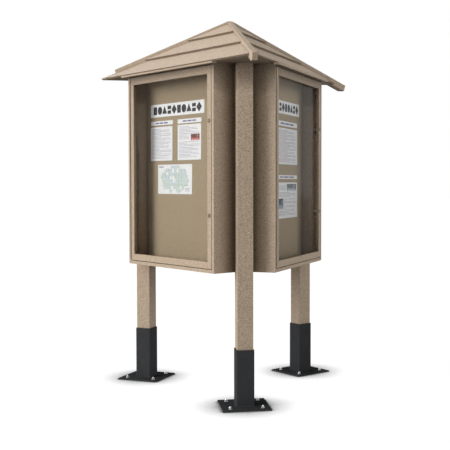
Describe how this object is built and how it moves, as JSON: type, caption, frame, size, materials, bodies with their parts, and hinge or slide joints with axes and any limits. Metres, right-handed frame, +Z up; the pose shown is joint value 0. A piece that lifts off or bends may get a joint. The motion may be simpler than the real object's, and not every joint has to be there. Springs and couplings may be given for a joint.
{
  "type": "lockable notice board",
  "caption": "Three-sided notice board kiosk: glazed display cabinets with lockable hinged doors on square posts in bolted steel shoes, under a lapped board hip roof.",
  "frame": {"origin": "on the ground, under the centre of the whole object's bounding box", "axes": "+Z up; the left and right cabinets face a viewer on the -Y side, with the front post between them; the rear cabinet faces +Y"},
  "size_m": [1.6116, 1.4582, 2.2003],
  "materials": {
    "lumber": "speckled tan recycled-plastic lumber with a fine matt grain",
    "tack_panel": "matt tan tack surface on a rigid backing board",
    "pane": "clear polished sheet",
    "hinge_steel": "tan powder coat to match the lumber",
    "lock_steel": "plated steel",
    "shoe_steel": "dark charcoal powder coat"
  },
  "bodies": {
    "kiosk": {"left_side_hinge": "lumber", "left_side_lock": "lumber", "left_floor_panel": "lumber", "left_tack_panel": "tack_panel", "left_hinge_fixed": "hinge_steel", "left_soffit": "lumber", "left_roof_board_1": "lumber", "left_roof_board_2": "lumber", "left_roof_board_3": "lumber", "right_side_hinge": "lumber", "right_side_lock": "lumber", "right_floor_panel": "lumber", "right_tack_panel": "tack_panel", "right_hinge_fixed": "hinge_steel", "right_soffit": "lumber", "right_roof_board_1": "lumber", "right_roof_board_2": "lumber", "right_roof_board_3": "lumber", "rear_side_hinge": "lumber", "rear_side_lock": "lumber", "rear_floor_panel": "lumber", "rear_tack_panel": "tack_panel", "rear_hinge_fixed": "hinge_steel", "rear_soffit": "lumber", "rear_roof_board_1": "lumber", "rear_roof_board_2": "lumber", "rear_roof_board_3": "lumber", "front_hip_rafter": "lumber", "front_post": "lumber", "front_shoe": "shoe_steel", "right_hip_rafter": "lumber", "right_post": "lumber", "right_shoe": "shoe_steel", "left_hip_rafter": "lumber", "left_post": "lumber", "left_shoe": "shoe_steel"},
    "left_door": {"left_stile_hinge": "lumber", "left_stile_lock": "lumber", "left_rail_top": "lumber", "left_rail_bottom": "lumber", "left_pane": "pane", "left_hinge_door": "hinge_steel"},
    "right_door": {"right_stile_hinge": "lumber", "right_stile_lock": "lumber", "right_rail_top": "lumber", "right_rail_bottom": "lumber", "right_pane": "pane", "right_hinge_door": "hinge_steel"},
    "rear_door": {"rear_stile_hinge": "lumber", "rear_stile_lock": "lumber", "rear_rail_top": "lumber", "rear_rail_bottom": "lumber", "rear_pane": "pane", "rear_hinge_door": "hinge_steel"},
    "left_upper_lock": {"left_lock_upper": "lock_steel"},
    "left_lower_lock": {"left_lock_lower": "lock_steel"},
    "right_upper_lock": {"right_lock_upper": "lock_steel"},
    "right_lower_lock": {"right_lock_lower": "lock_steel"},
    "rear_upper_lock": {"rear_lock_upper": "lock_steel"},
    "rear_lower_lock": {"rear_lock_lower": "lock_steel"}
  },
  "joints": [
    {"name": "left_door_hinge", "type": "hinge", "parent": "kiosk", "child": "left_door", "pos_m": [-0.633, 0.36922, 1.309], "axis": [0, 0, -1], "range_deg": [0, 165]},
    {"name": "left_upper_lock_turn", "type": "hinge", "parent": "left_door", "child": "left_upper_lock", "pos_m": [-0.22483, -0.33014, 1.56275], "axis": [-0.866, -0.5, 0], "range_deg": [0, 90]},
    {"name": "left_lower_lock_turn", "type": "hinge", "parent": "left_door", "child": "left_lower_lock", "pos_m": [-0.22483, -0.33014, 1.04875], "axis": [-0.866, -0.5, 0], "range_deg": [0, 90]},
    {"name": "right_door_hinge", "type": "hinge", "parent": "kiosk", "child": "right_door", "pos_m": [0.14608, -0.34915, 1.309], "axis": [0, 0, -1], "range_deg": [0, 165]},
    {"name": "right_upper_lock_turn", "type": "hinge", "parent": "right_door", "child": "right_upper_lock", "pos_m": [0.54766, 0.35402, 1.56275], "axis": [0.866, -0.5, 0], "range_deg": [0, 90]},
    {"name": "right_lower_lock_turn", "type": "hinge", "parent": "right_door", "child": "right_lower_lock", "pos_m": [0.54766, 0.35402, 1.04875], "axis": [0.866, -0.5, 0], "range_deg": [0, 90]},
    {"name": "rear_door_hinge", "type": "hinge", "parent": "kiosk", "child": "rear_door", "pos_m": [0.37867, 0.68474, 1.309], "axis": [0, 0, -1], "range_deg": [0, 165]},
    {"name": "rear_upper_lock_turn", "type": "hinge", "parent": "rear_door", "child": "rear_upper_lock", "pos_m": [-0.43108, 0.68094, 1.56275], "axis": [0, 1, 0], "range_deg": [0, 90]},
    {"name": "rear_lower_lock_turn", "type": "hinge", "parent": "rear_door", "child": "rear_lower_lock", "pos_m": [-0.43108, 0.68094, 1.04875], "axis": [0, 1, 0], "range_deg": [0, 90]}
  ]
}
